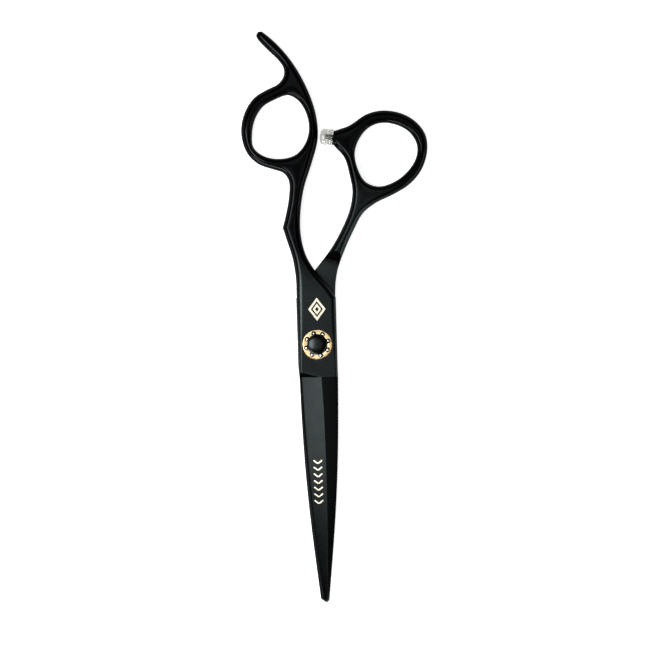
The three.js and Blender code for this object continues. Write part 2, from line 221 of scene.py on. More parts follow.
def corners_only(loop):
    """A loop without the points that lie on its straight edges."""
    for least in (0.05, 0.25):
        length = np.linalg.norm(np.roll(loop, -1, axis=0) - loop, axis=1)
        loop = loop[length > 0.01]
        loop = loop[np.abs(turning(loop)) > least]
    return loop


def smoothed(loop, corner=22.0, step=0.4, bend=7.0):
    """A loop redrawn as smooth curves between its corners, and which of the new points are corners."""
    sharp = np.abs(turning(loop)) > corner
    if sharp.any():
        loop = np.roll(loop, -int(np.argmax(sharp)), axis=0)
        sharp = np.abs(turning(loop)) > corner
    points, flags = [], []
    starts = np.flatnonzero(sharp) if sharp.any() else np.array([0])
    for k, start in enumerate(starts):
        end = starts[k + 1] if k + 1 < len(starts) else len(loop)
        run = np.vstack([loop[start:end], loop[end % len(loop)]])
        run = np.vstack([run[:1]] + [a + (b - a) * np.arange(1, n + 1)[:, None] / n for a, b in zip(run, run[1:])
                                     for n in [max(1, round(float(np.linalg.norm(b - a)) / 2.6))]])
        curve = through(run, closed=not sharp.any())
        chosen = thinned(curve, step, bend)
        points.append(chosen[:-1])
        flags += [bool(sharp.any())] + [False] * (len(chosen) - 2)
    return np.vstack(points), np.array(flags)


def through(run, closed):
    """A centripetal Catmull-Rom curve through the points, sampled finely."""
    if closed:
        padded = np.vstack([run[-2], run, run[1]])
    else:
        padded = np.vstack([2 * run[0] - run[1], run, 2 * run[-1] - run[-2]])
    result = []
    for a, b, c, d in zip(padded, padded[1:], padded[2:], padded[3:]):
        knots = np.cumsum([0.0] + [math.sqrt(float(np.linalg.norm(q - p))) for p, q in ((a, b), (b, c), (c, d))])
        steps = max(2, round(float(np.linalg.norm(c - b)) / 0.06))
        t = np.linspace(knots[1], knots[2], steps, endpoint=False)[:, None]

        def between(p, q, i, j):
            return ((knots[j] - t) * p + (t - knots[i]) * q) / (knots[j] - knots[i])

        first, second, third = between(a, b, 0, 1), between(b, c, 1, 2), between(c, d, 2, 3)
        result.append(between(between(first, second, 0, 2), between(second, third, 1, 3), 1, 2))
    return np.vstack(result + [run[-1:]])


def thinned(curve, step, bend):
    """The points of a fine curve that are a step apart, and closer where it bends."""
    length = np.linalg.norm(np.diff(curve, axis=0), axis=1)
    heading = np.unwrap(np.arctan2(*np.diff(curve, axis=0).T[::-1]))
    turned_by = np.degrees(np.abs(np.diff(heading, prepend=heading[0])))
    cost = np.concatenate([[0], np.cumsum(length / step + turned_by / bend)])
    wanted = np.linspace(0, cost[-1], max(3, round(cost[-1])) + 1)
    return np.stack([np.interp(wanted, cost, curve[:, i]) for i in range(2)], 1)


def counterclockwise(loop):
    x, y = loop.T
    area = (x * np.roll(y, -1) - np.roll(x, -1) * y).sum()
    return loop if area > 0 else loop[::-1]


class Distance:
    """Distances from points to a set of loops."""

    def __init__(self, loops, spacing=0.05):
        samples = []
        for loop in loops:
            for a, b in zip(loop, np.roll(loop, -1, axis=0)):
                count = max(1, math.ceil(float(np.linalg.norm(b - a)) / spacing))
                samples.append(a + (b - a) * np.arange(count)[:, None] / count)
        samples = np.vstack(samples)
        self.tree = kdtree.KDTree(len(samples))
        for i, (x, y) in enumerate(samples):
            self.tree.insert((x, y, 0), i)
        self.tree.balance()

    def __call__(self, points):
        return np.array([self.tree.find((x, y, 0))[2] for x, y in points])


def inside(points, loops):
    """Which points lie inside the loops, by how many edges a ray to the right crosses."""
    points = np.asarray(points, float)
    result = np.zeros(len(points), bool)
    for loop in loops:
        for (ax, ay), (bx, by) in zip(loop, np.roll(loop, -1, axis=0)):
            if ay == by:
                continue
            spans = (points[:, 1] > ay) != (points[:, 1] > by)
            crossing = ax + (points[:, 1] - ay) * (bx - ax) / (by - ay)
            result ^= spans & (points[:, 0] < crossing)
    return result


# ---- The halves ----
#
# Each half is made outer face up, as the finger half lies, and the thumb half is then turned over.

CHAMFER_LOW = 0.95  # width of the rounded edge of a pivot plate at its blade, and where it meets its shank
CHAMFER_HIGH = 1.95
ROUNDING = 1.75  # width of the rounding along the shanks
RING_OUTSIDE = 1.9  # and round the outside of the rings
RING_INSIDE = 1.45  # and round their holes
PLATE_WALL = 0.5  # height of a plate's side wall, as a share of its thickness from the middle
HANDLE_WALL = 0.07
PLATE_CURVE = 1.85  # 1 is a flat chamfer and 2 is a round
HANDLE_CURVE = 1.9
RING_HALF = 2.8  # half the thickness of the rings and shanks
TANG_HALF = 2.1  # and of the finger rest at its tip
CROWN = 0.18  # how far the middle of a handle stands above its rounded edges
CHAMFER_SPAN, SHANK_SPAN, RING_SPAN = (-10, 18), (20, 40), (50, 62)  # where along y one width turns into the next
THICKER_SPAN, HANDLE_SPAN, TANG_SPAN = (18, 45), (14, 34), (80, 100)  # and one height or shape into the next
RING_SHARES = (0, 0.025, 0.07, 0.14, 0.23, 0.34, 0.46, 0.58, 0.7, 0.8, 0.88, 0.94, 0.98, 1.0, 1.08, 1.3)
RELIEF_RADIUS = 8.0  # of the round step that ends the milled inner face
RELIEF_AT = np.array([-6.9, 31.4])  # a point on the line where it would reach the outer face
RELIEF_SLANT = math.radians(18)
RELIEF_FADE = 6.0  # length of the slow hollow before the round step
FADE_RADIUS = 40.0
STEP_ROWS = (-6, -4.5, -3, -1.8, -0.8, 0, 0.7, 1.4, 2.1, 2.8, 3.4, 4.0, 4.5, 5.0)
BORE_SIDES = 96


def ramp(value, low, high):
    share = np.clip((np.asarray(value, float) - low) / (high - low), 0, 1)
    return share * share * (3 - 2 * share)


def rounding_width(y, hole=False):
    """Width of the rounded edge at this distance along the shears, on the outline or round the ring's hole."""
    chamfer = CHAMFER_LOW + (CHAMFER_HIGH - CHAMFER_LOW) * ramp(y, *CHAMFER_SPAN)
    shank = chamfer + (ROUNDING - chamfer) * ramp(y, *SHANK_SPAN)
    return np.full_like(shank, RING_INSIDE) if hole else shank + (RING_OUTSIDE - shank) * ramp(y, *RING_SPAN)


class Edges:
    """The outline of a half and the hole in its ring, and how far in from them, in roundings, a point lies."""

    def __init__(self, loops):
        self.distances = [Distance([loop]) for loop in loops]

    def away(self, points):
        return np.min([distance(points) for distance in self.distances], axis=0)

    def nearest(self, points, index, reach, width):
        """Which points are that far from their own loop, and further into every other loop's rounding."""
        result = self.distances[index](points) > reach
        for other, distance in enumerate(self.distances):
            if other != index:
                result &= distance(points) / rounding_width(points[:, 1], other > 0) > reach / width
        return result

    def share(self, points):
        points = np.asarray(points, float)
        return np.min([distance(points) / rounding_width(points[:, 1], index > 0)
                       for index, distance in enumerate(self.distances)], axis=0)


def outer_height(y, share):
    """Height of the outer face above the middle, at this share of the rounding's width in from the outline."""
    half = MIDDLE + (RING_HALF - MIDDLE) * ramp(y, *THICKER_SPAN)
    half = half + (TANG_HALF - RING_HALF) * ramp(y, *TANG_SPAN)
    handle = ramp(y, *HANDLE_SPAN)
    wall = PLATE_WALL + (HANDLE_WALL - PLATE_WALL) * handle
    power = PLATE_CURVE + (HANDLE_CURVE - PLATE_CURVE) * handle
    out = np.clip(1 - share, 0, 1)
    rise = np.clip(1 - out ** power, 0, 1) ** (1 / power)
    crown = CROWN * handle * (1 - np.exp(-np.clip(share - 1, 0, None)))
    return half * (wall + (1 - wall) * rise) - CROWN * handle + crown


def relief_height(x, y):
    """Height of the milled inner face and of the round step at its end."""
    run = math.sqrt(RELIEF_RADIUS ** 2 - (RELIEF_RADIUS - INNER) ** 2)
    along = (x - RELIEF_AT[0]) * -math.sin(RELIEF_SLANT) + (y - RELIEF_AT[1]) * math.cos(RELIEF_SLANT) + run
    inner = np.clip(along, 0, RELIEF_RADIUS)
    step = INNER - RELIEF_RADIUS + np.sqrt(RELIEF_RADIUS ** 2 - inner ** 2)
    fade = np.clip(along + RELIEF_FADE, 0, RELIEF_FADE)
    step = step - fade ** 2 / (2 * FADE_RADIUS) - inner * RELIEF_FADE / FADE_RADIUS
    return np.where(along < RELIEF_RADIUS, step, -np.inf)


def inner_height(x, y, share, width):
    """Height of the inner side: the milled face near the pivot, and the handle's rounded underside."""
    under = MIDDLE - outer_height(y, share)
    milled = relief_height(x, y) + np.clip(0.12 - share * width, 0, None)
    return np.maximum(under, milled)


def circle(radius, flats=None):
    """Points round the pivot's axis, with two flats if it is keyed."""
    angles = TURN * np.arange(BORE_SIDES) / BORE_SIDES
    reach = np.full(BORE_SIDES, float(radius))
    if flats:
        reach = np.minimum(reach, flats / np.maximum(np.abs(np.cos(angles)), 1e-6))
    return np.stack([reach * np.cos(angles), reach * np.sin(angles)], 1)


def offset_rings(loops, corner_flags, edge_lines):
    """Points on curves that run inside the loops, at shares of the rounding's width, and the edges along them."""
    points, shares, edges, ring_zero = [], [], [], []
    margin = 0.05
    for index, (loop, flags) in enumerate(zip(loops, corner_flags)):
        before = loop - np.roll(loop, 1, axis=0)
        after = np.roll(loop, -1, axis=0) - loop
        before /= np.linalg.norm(before, axis=1)[:, None]
        after /= np.linalg.norm(after, axis=1)[:, None]
        normal = np.stack([-(before + after)[:, 1], (before + after)[:, 0]], 1)
        normal /= np.linalg.norm(normal, axis=1)[:, None]
        cosine = np.clip((normal * np.stack([-after[:, 1], after[:, 0]], 1)).sum(1), 0.2, 1)
        miter = np.where(flags, 1 / cosine, 1.0)
        width = rounding_width(loop[:, 1], index > 0)
        first = len(points)
        points += list(loop)
        shares += [0.0] * len(loop)
        ring_zero.append(list(range(first, first + len(loop))))
        edges += [(first + i, first + (i + 1) % len(loop)) for i in range(len(loop))]
        for share in RING_SHARES[1:]:
            level = share * width
            probe = loop + normal * ((level + margin) * miter)[:, None]
            kept = edge_lines.nearest(probe, index, level + margin - 0.008, width)
            place = loop + normal * (level * miter)[:, None]
            number = {}
            for i in np.flatnonzero(kept):
                number[i] = len(points)
                points.append(place[i])
                shares.append(share)
            for i, a in number.items():
                b = number.get((i + 1) % len(loop))
                if b is not None and np.linalg.norm(points[a] - points[b]) < 1.2:
                    edges.append((a, b))
    return points, shares, edges, ring_zero


def sheet(points, shares, edges, loops, edge_lines, hole, lines, spacing=1.3):
    """A triangulated face within the loops and round the hole.

    Gives its points, their shares, its triangles, which point each given one became, and the points of the hole.
    """
    given = np.array(points)
    near_hole = inside(given, [hole]) | (Distance([hole])(given) < 0.15)
    order = np.cumsum(~near_hole) - 1
    points, shares = list(given[~near_hole]), list(np.array(shares)[~near_hole])
    edges = [(int(order[a]), int(order[b])) for a, b in edges if not (near_hole[a] or near_hole[b])]
    low, high = loops[0].min(0), loops[0].max(0)
    grid = np.stack(np.meshgrid(np.arange(low[0], high[0], spacing), np.arange(low[1], high[1], spacing)), -1)
    grid = grid.reshape(-1, 2)
    grid = grid[inside(grid, loops)]
    grid_shares = edge_lines.share(grid)
    clear = (grid_shares > 1.5) & ~inside(grid, [hole]) & (Distance([hole])(grid) > 0.5)
    points += list(grid[clear])
    shares += list(grid_shares[clear])
    for line in lines:
        line = line[inside(line, loops)]
        line = line[edge_lines.away(line) > 0.04]
        first = len(points)
        points += list(line)
        shares += list(edge_lines.share(line))
        edges += [(first + i, first + i + 1) for i in range(len(line) - 1)
                  if np.linalg.norm(line[i + 1] - line[i]) < 0.6]
    first = len(points)
    points += list(hole)
    shares += [9.0] * len(hole)
    edges += [(first + i, first + (i + 1) % len(hole)) for i in range(len(hole))]
    out_points, _, faces, origins, _, _ = geometry.delaunay_2d_cdt(
        [Vector(p) for p in points], edges, [], 0, 0.002, True)
    out_points = np.array([tuple(p) for p in out_points])
    where = {}
    out_shares = np.full(len(out_points), np.nan)
    for i, sources in enumerate(origins):
        for source in sources:
            where[source] = i
            out_shares[i] = shares[source]
    added = np.isnan(out_shares)
    if added.any():
        out_shares[added] = edge_lines.share(out_points[added])
    faces = np.array([list(f) for f in faces])
    middle = out_points[faces].mean(1)
    faces = faces[inside(middle, loops) & ~inside(middle, [hole])]
    ring = [where[first + i] for i in range(len(hole))]
    return out_points, out_shares, faces, {i: where.get(int(order[i])) for i in range(len(given))}, ring


def step_lines(edge_lines):
    """Rows of points along the round step of the milled face, and one along its crest."""
    run = math.sqrt(RELIEF_RADIUS ** 2 - (RELIEF_RADIUS - INNER) ** 2)
    across = np.array([math.cos(RELIEF_SLANT), math.sin(RELIEF_SLANT)])
    over = np.array([-across[1], across[0]])
    reach = np.arange(-12, 12, 0.25)[:, None]
    rows = [RELIEF_AT + over * (along - run) + across * reach for along in STEP_ROWS]
    low, high = np.zeros(len(reach)), np.full(len(reach), run)
    for _ in range(18):
        middle = (low + high) / 2
        place = RELIEF_AT + over * (middle[:, None] - run) + across * reach
        above = relief_height(*place.T) > MIDDLE - outer_height(place[:, 1], edge_lines.share(place))
        low, high = np.where(above, middle, low), np.where(above, high, middle)
    crest = RELIEF_AT + over * (low[:, None] - run) + across * reach
    return rows + [crest]


def slab(name, loops, corner_flags, outer_hole, inner_hole, bore_rings):
    """One half without its blade. bore_rings are the loops between the outer hole and the inner one."""
    edge_lines = Edges(loops)
    points, shares, edges, ring_zero = offset_rings(loops, corner_flags, edge_lines)
    top, top_shares, top_faces, top_where, top_hole = sheet(points, shares, edges, loops, edge_lines, outer_hole, [])
    low, low_shares, low_faces, low_where, low_hole = sheet(
        points, shares, edges, loops, edge_lines, inner_hole, step_lines(edge_lines))
    top_z = MIDDLE + outer_height(top[:, 1], top_shares)
    low_z = inner_height(low[:, 0], low[:, 1], low_shares, rounding_width(low[:, 1]))
    vertices = [(x, y, z) for (x, y), z in zip(top, top_z)]
    shift = len(vertices)
    vertices += [(x, y, z) for (x, y), z in zip(low, low_z)]
    faces = [list(map(int, f)) for f in top_faces]
    faces += [[int(i) + shift for i in reversed(f)] for f in low_faces]
    for ring in ring_zero:
        for a, b in zip(ring, ring[1:] + ring[:1]):
            faces.append([top_where[a], top_where[b], low_where[b] + shift, low_where[a] + shift])
    chain = [top_hole]
    for loop, z in bore_rings:
        chain.append(list(range(len(vertices), len(vertices) + len(loop))))
        vertices += [(x, y, z) for x, y in loop]
    chain.append([i + shift for i in low_hole])
    for upper, lower in zip(chain, chain[1:]):
        for i in range(len(upper)):
            j = (i + 1) % len(upper)
            faces.append([upper[i], upper[j], lower[j], lower[i]])
    return tidied(made(name, vertices, faces))


# ---- Blades ----

BLADE_OFF = -7.0  # where the blade is cut off the outline
ROOT_SQUEEZE = -10.58  # inside the plate, past here, a blade is narrower so that it stays under the chamfer
PLATE_JOIN = -11.0  # where the sides of a plate meet the sides of its blade
PLATE_END = -14.0  # the plates run down to here before their ends are cut to a V
NOTCH_LOW, NOTCH_HIGH = -11.3, -8.6  # the step walls that the cut leaves lie between these
BLADE_TOP = -8.5  # and a blade starts here, inside its plate
TIP_ANGLES = (8, 16, 24, 32, 40, 48, 56, 64, 71, 77, 82, 86)  # rows round the tip, in degrees
EDGE_LAND = 0.06  # thickness of the cutting edge itself
BEVEL_WIDTH = 0.45  # of the narrow steep bevel along the cutting edge
BEVEL_RISE = 0.27
FACET_CONVEX = 0.1  # how round the wide facet and the spine's facet are
SPINE_CONVEX = 0.12
HOLLOW = 0.11  # depth of the hollow inner face
HONE = 0.5  # width of the flat line along its edge
FACET_STEPS = 16
SPINE_STEPS = 6
HOLLOW_STEPS = 18


def blade_rows(node, flip):
    """Rows of a CAD blade: y, edge, spine, the ridge's place and height, and the spine's height."""
    points = node_points(node)
    if flip:
        points = points * [-1, 1, -1] + [0, 0, STACK]
    points = points[points[:, 1] < PLATE_JOIN - 0.9]
    table = []
    for y in np.unique(np.round(points[:, 1], 3)):
        row = points[np.abs(points[:, 1] - y) < 0.002]
        if len(row) < 6:
            continue
        ridge = row[np.argmax(row[:, 2])]
        spine = row[row[:, 0] > row[:, 0].max() - 0.01]
        table.append((y, row[:, 0].min(), row[:, 0].max(), ridge[0], ridge[2] - INNER, spine[:, 2].max() - INNER))
    return np.array(table)


class BladeShape:
    """Smooth functions of y for a CAD blade: its edge, spine and ridge, and the heights of its ridge and spine."""

    def __init__(self, node, flip):
        table = blade_rows(node, flip)
        self.tip = node_points(node)[:, 1].min()
        self.tip_start = table[table[:, 0] > self.tip + 0.9][:, 0].min()
        rows = table[table[:, 0] > self.tip_start - 0.001]
        self.curves = [np.polyfit(rows[:, 0], rows[:, k], 4) for k in range(1, 6)]

    def at(self, y):
        low, high, ridge_x, ridge, spine = [float(np.polyval(c, max(y, self.tip_start))) for c in self.curves]
        if y < self.tip_start:
            share = min(1.0, (self.tip_start - y) / (self.tip_start - self.tip))
            middle, half = (low + high) / 2, (high - low) / 2
            narrow = math.sqrt(max(0.0, 1 - share ** 2))
            ridge_x = middle + (ridge_x - middle) * narrow
            low, high = middle - half * narrow, middle + half * narrow
            ridge, spine = ridge * (1 - 0.45 * share ** 2), spine * (1 - 0.45 * share ** 2)
        ridge_x = min(max(ridge_x, low + 0.35 * (high - low)), high - 0.12 * (high - low))
        if y > ROOT_SQUEEZE:
            high -= 1.2
        return low, high, ridge_x, ridge, spine


def blade(name, form):
    """A blade: ridged outside with a convex wide facet, and hollow ground inside with a hone line at its edge."""
    ys = [BLADE_TOP, ROOT_SQUEEZE + 0.01, ROOT_SQUEEZE - 0.01] + list(np.linspace(PLATE_JOIN, form.tip_start, 100))
    ys += [form.tip_start - (form.tip_start - form.tip) * math.sin(math.radians(a)) for a in TIP_ANGLES]
    sections = [blade_section(y, *form.at(y)) for y in ys]
    count = len(sections[0])
    vertices = [(x, y, INNER + z) for y, section in zip(ys, sections) for x, z in section]
    faces = []
    for row in range(len(ys) - 1):
        for i in range(count):
            a, b = row * count + i, row * count + (i + 1) % count
            faces.append([a, b, b + count, a + count])
    faces.append(list(range(count)))
    faces.append([(len(ys) - 1) * count + i for i in reversed(range(count))])
    return tidied(made(name, vertices, faces), 0.0003)


def facet_height(t, ridge, width):
    """Height of the wide facet, and of the bevel at its edge, at a share of the way from the edge to the ridge."""
    bevel = min(BEVEL_RISE, 0.3 * ridge) * min(1.0, t * width / BEVEL_WIDTH) * (1 - t)
    return EDGE_LAND + (ridge - EDGE_LAND) * (t + FACET_CONVEX * t * (1 - t)) + bevel


def blade_section(y, low, high, ridge_x, ridge, spine):
    wide = high - low
    break_in = min(0.16, 0.1 * wide)
    section = []
    facet = max(ridge_x - low, 0.01)
    bevel = min(0.4, BEVEL_WIDTH / facet)
    for t in [0, bevel / 2] + list(np.linspace(bevel, 1, FACET_STEPS)[:-1]):
        section.append((low + facet * t, facet_height(t, ridge, facet)))
    section.append((ridge_x, ridge))
    for i in range(1, SPINE_STEPS + 1):
        t = i / SPINE_STEPS * (1 - break_in / (high - ridge_x))
        bulge = SPINE_CONVEX * t * (1 - t) * ridge / 3
        section.append((ridge_x + (high - ridge_x) * t, ridge + (spine - ridge) * t + bulge))
    end = section[-1]
    section += [(high - 0.4 * break_in, end[1] - 0.3 * break_in), (high, end[1] - break_in), (high, break_in * 0.7),
                (high - 0.5 * break_in, 0.0)]
    depth = HOLLOW * float(ramp(-y, 13, 22)) * min(1.0, wide / 6)
    hone, ride = min(HONE, 0.18 * wide), 0.12 * wide
    start, end_x = high - ride, low + hone
    for i in range(HOLLOW_STEPS + 1):
        t = i / HOLLOW_STEPS
        section.append((start + (end_x - start) * t, depth * 4 * t * (1 - t)))
    section.append((low, 0.0))
    return section


def slanted_cut(part, start, end, foot, foot_z):
    """Cuts away what lies beyond a plane through the line from start to end at the top, and a point at its foot."""
    a, b = Vector((*start, STACK)), Vector((*end, STACK))
    normal = (b - a).cross(Vector((*foot, foot_z)) - a).normalized()
    if normal.y > 0:
        normal = -normal
    along = (b - a).normalized()
    up = normal.cross(along)
    frame_matrix = Matrix((along, up, normal)).transposed()
    corners = []
    for depth in (0, 12):
        for u, v in ((-14, -14), (14, -14), (14, 14), (-14, 14)):
            corners.append((a + b) / 2 + frame_matrix @ Vector((u, v, depth)))
    faces = [(0, 1, 2, 3), (7, 6, 5, 4), (0, 4, 5, 1), (1, 5, 6, 2), (2, 6, 7, 3), (3, 7, 4, 0)]
    return combine(part, edit(made("cutter", corners, faces)), "DIFFERENCE")


def stud_axis():
    """The middle of the boss's end face, and the way that the bumper points, both seen from above."""
    points = node_points("bumper_stud")
    points = np.unique(np.round(points, 3), axis=0)
    centre = points.mean(0)
    axis = np.linalg.svd(points - centre)[2][0][:2]
    axis = axis / np.linalg.norm(axis) * -np.sign(axis[0])
    along = (points - centre)[:, :2] @ axis
    return centre[:2] + axis * (along.min() + STUD_FOOT), axis


V_LEFT, V_MIDDLE, V_RIGHT = (-5.2, -8.9), (0.3, -10.5), (6.3, -10.5)  # the line of the cut at a plate's end
STUD_FOOT = 3.8  # how deep the stud's foot stands in the boss
BOSS_HALF = 2.4  # half the boss's width, and how far it is carried on before its end is cut off
BOSS_EXTRA = 2.2
BOSS_FACE, BUMPER_AXIS = stud_axis()


def with_long_boss(outline):
    """The outline with its boss carried on past the end face, and without the stud's hole."""
    face, axis = BOSS_FACE * [-1, 1], BUMPER_AXIS * [-1, 1]
    side = np.array([-axis[1], axis[0]])
    along, across = (outline - face) @ axis, (outline - face) @ side
    drop = (np.abs(across) < BOSS_HALF + 0.05) & (along > -STUD_FOOT - 0.5) & (along < 0.2)
    outline, kept_across = outline[~drop], across[~drop]
    order = np.flatnonzero(np.diff(np.concatenate([drop, drop[:1]]).astype(int)) == 1)
    at = int(order[0]) + 1 if len(order) else 0
    at = int((~drop[:at]).sum())
    sign = 1 if kept_across[at - 1] > 0 else -1
    new = [face + axis * reach + side * BOSS_HALF * way
           for reach, way in ((-0.6, sign), (BOSS_EXTRA, sign), (BOSS_EXTRA, -sign), (-0.6, -sign))]
    return np.vstack([outline[:at], new, outline[at:]])


def with_plain_end(outline, left, right):
    """The outline with its blade left off, and its plate carried on to meet the blade's sides at left and right."""
    result = []
    for a, b in zip(outline, np.roll(outline, -1, axis=0)):
        if a[1] >= BLADE_OFF:
            result.append(a)
        if (a[1] >= BLADE_OFF) != (b[1] >= BLADE_OFF):
            share = (BLADE_OFF - a[1]) / (b[1] - a[1])
            x = a[0] + share * (b[0] - a[0])
            side = right if x > 0 else left
            crossing = [(x, BLADE_OFF), (side, PLATE_JOIN), (side, PLATE_END)]
            result += crossing if a[1] >= BLADE_OFF else crossing[::-1]
    return np.array(result)


def half(name, node, height, flip, outer_hole, inner_hole, bores, form):
    """One half of the shears, from its CAD node's outline. It is made outer face up."""
    loops = [corners_only(loop) for loop in slice_loops(node, height)]
    loops.sort(key=lambda loop: -np.ptp(loop[:, 1]))
    outline = loops[0]
    hole = next(loop for loop in loops[1:] if loop[:, 1].mean() > 50 and np.ptp(loop[:, 1]) > 10)
    if flip:
        outline, hole = outline * [-1, 1], hole * [-1, 1]
    outline = counterclockwise(outline)
    hole = counterclockwise(hole)[::-1]
    if flip:
        outline = with_long_boss(outline)
    left, right = form.at(PLATE_JOIN)[:2]
    smooth_outline, corners = smoothed(with_plain_end(outline, left - 0.05, right + 0.03))
    smooth_hole, no_corners = smoothed(hole)
    part = slab(name, [smooth_outline, smooth_hole], [corners, no_corners], outer_hole, inner_hole, bores)
    slanted_cut(part, V_LEFT, V_MIDDLE, (-6.15, -10.45), INNER + 0.3)
    slanted_cut(part, V_MIDDLE, V_RIGHT, (6.35, -10.8), 4.8)
    combine(part, blade("blade", form), "UNION")
    return tidied(part, 0.002)


def turn_over(part):
    """Turns a part over about the blades' line, as the thumb half lies."""
    def work(shape):
        for vertex in shape.verts:
            vertex.co.x, vertex.co.z = -vertex.co.x, STACK * MM - vertex.co.z
    return edit(part, work)


def mark_wear(part):
    """Notes on each vertex how sharp and convex its edges are, from 0 to 1."""
    shape = bmesh.new()
    shape.from_mesh(part.data)
    worn = np.zeros(len(shape.verts))
    for edge in shape.edges:
        if len(edge.link_faces) == 2:
            angle = math.degrees(edge.calc_face_angle_signed(0.0))
            for vertex in edge.verts:
                worn[vertex.index] = max(worn[vertex.index], angle)
    shape.free()
    attribute = part.data.attributes.new("wear", "FLOAT", "POINT")
    attribute.data.foreach_set("value", ramp(worn, 14, 55))


finger_form = BladeShape("finger_blade", False)
thumb_form = BladeShape("thumb_blade", True)

SLICE = 3.35  # height at which the outlines are read, from the outer face of the other half
CUP_POCKET, BUSH_BORE, CUP_SEAT = circle(4.65), circle(2.6), CUP_LOW[2] - 0.05
SCREW_POCKET, SCREW_SEAT = circle(3.4), 1.5
RIDE_POCKET, RIDE_SEAT = circle(4.6), 2.5
KEYED = circle(2.0, flats=1.65)
finger_half = half("finger_half", "finger_blade", SLICE, False, CUP_POCKET, BUSH_BORE,
                   [(CUP_POCKET, CUP_SEAT), (BUSH_BORE, CUP_SEAT)], finger_form)
thumb_half = half("thumb_half", "thumb_blade", STACK - SLICE, True, SCREW_POCKET, RIDE_POCKET,
                  [(SCREW_POCKET, STACK - SCREW_SEAT), (KEYED, STACK - SCREW_SEAT),
                   (KEYED, STACK - RIDE_SEAT), (RIDE_POCKET, STACK - RIDE_SEAT)], thumb_form)
turn_over(thumb_half)

# ---- Pivot, bumper and small parts ----


def cylinder_at(x, y, radius, bottom, top):
    return turned("cutter", [(0, bottom), (radius, bottom), (radius, top), (0, top)], 48, (x, y, 0))


def box_between(low, high):
    (x0, y0, z0), (x1, y1, z1) = low, high
    corners = [(x0, y0, z0), (x1, y0, z0), (x1, y1, z0), (x0, y1, z0),
               (x0, y0, z1), (x1, y0, z1), (x1, y1, z1), (x0, y1, z1)]
    faces = [(3, 2, 1, 0), (4, 5, 6, 7), (0, 1, 5, 4), (1, 2, 6, 5), (2, 3, 7, 6), (3, 0, 4, 7)]
    return edit(made("cutter", corners, faces))


HEAD = BARREL_HIGH[0]
HEAD_TOP = BARREL_HIGH[2]
DOME_RISE = 1.0
DOME_STEPS = 32
RIM_TOP = HEAD_TOP - DOME_RISE
BARREL = 1.9
CONE = -3.4426  # radius minus height, all along the head's cone
dome = [(HEAD * math.cos(TURN / 4 * i / DOME_STEPS), RIM_TOP + DOME_RISE * math.sin(TURN / 4 * i / DOME_STEPS))
        for i in range(1, DOME_STEPS)]
barrel_profile = rounded([
    (0, 5.0), (1.05, 5.0), (1.05, BARREL_LOW[2]), (BARREL, BARREL_LOW[2]), (BARREL, 2.3 - CONE), (2.3, 2.3 - CONE),
    (HEAD, HEAD - CONE), (HEAD, RIM_TOP)], 0.05)[:-1]
barrel_profile += [(HEAD, RIM_TOP - 0.06)] + dome + [(0, HEAD_TOP)]
barrel = turned("pivot_dome_barrel", barrel_profile, 128)
for side in (-1, 1):
    low, high = sorted((side * 1.55, side * 4))
    combine(barrel, box_between((low, -3, 0), (high, 3, 2.9)), "DIFFERENCE")

CAGE_EDGE = 0.25  # width of the cage's sloping outer edge, which takes the painted shade
cage = turned("gold_ball_cage", rounded([
    (3.3, CAGE_LOW[2]), (CAGE_HIGH[0], CAGE_LOW[2]), (CAGE_HIGH[0], CAGE_HIGH[2] - 0.18),
    (CAGE_HIGH[0] - CAGE_EDGE - 0.01, CAGE_HIGH[2]), (3.3, CAGE_HIGH[2])], 0.045), 160)
POCKET_GAP = 0.27  # round each ball in its pocket
BALL_STEPS = 24
balls = []
for i in range(1, 9):
    low, high = box_mm(f"bearing_ball_{i}")
    x, y, z = (low + high) / 2
    radius = (high[2] - low[2]) / 2
    combine(cage, cylinder_at(x, y, radius + POCKET_GAP, STACK - 1, STACK + 2), "DIFFERENCE")
    angles = [math.pi * k / BALL_STEPS for k in range(1, BALL_STEPS)]
    middle = [(radius * math.sin(a), z - radius * math.cos(a)) for a in angles]
    balls.append(turned(f"pivot_ball_{i}", [(0, z - radius)] + middle + [(0, z + radius)], 48, (x, y, 0)))

race = [(3.67 + 0.61 * math.cos(math.radians(a)), 6.25 + 0.61 * math.sin(math.radians(a)))
        for a in np.linspace(-26.3, -153.7, 17)]
cup = turned("steel_ball_race", [(2.7, CUP_LOW[2]), (CUP_HIGH[0], CUP_LOW[2]), (CUP_HIGH[0], CUP_HIGH[2] - 0.05),
                                 (CUP_HIGH[0] - 0.05, CUP_HIGH[2])] + race + [(2.7, CUP_HIGH[2])], 128)
screw = turned("tension_screw_head", rounded([
    (0, 0), (3.1, 0), (SCREW_HIGH[0], 0.2), (SCREW_HIGH[0], 0.95), (0.95, 0.95), (0.95, 4.4), (0.75, SCREW_HIGH[2]),
    (0, SCREW_HIGH[2])], 0.05), 128)
for x in (-1.9, 1.9):
    combine(screw, cylinder_at(x, 0, 0.4, -1, 0.65), "DIFFERENCE")
spring = turned("conical_spring_washer", rounded([(1.1, 1.02), (3.2, 1.27), (3.2, 1.45), (1.1, 1.2)], 0.04), 96)
ride = turned("ride_disc", rounded([(2.05, 2.55), (4.5, 2.55), (4.5, 3.05), (2.05, 3.05)], 0.06), 96)
bush = turned("bronze_bush", rounded([(2.0, 3.15), (2.55, 3.15), (2.55, 4.45), (2.0, 4.45)], 0.06), 96)

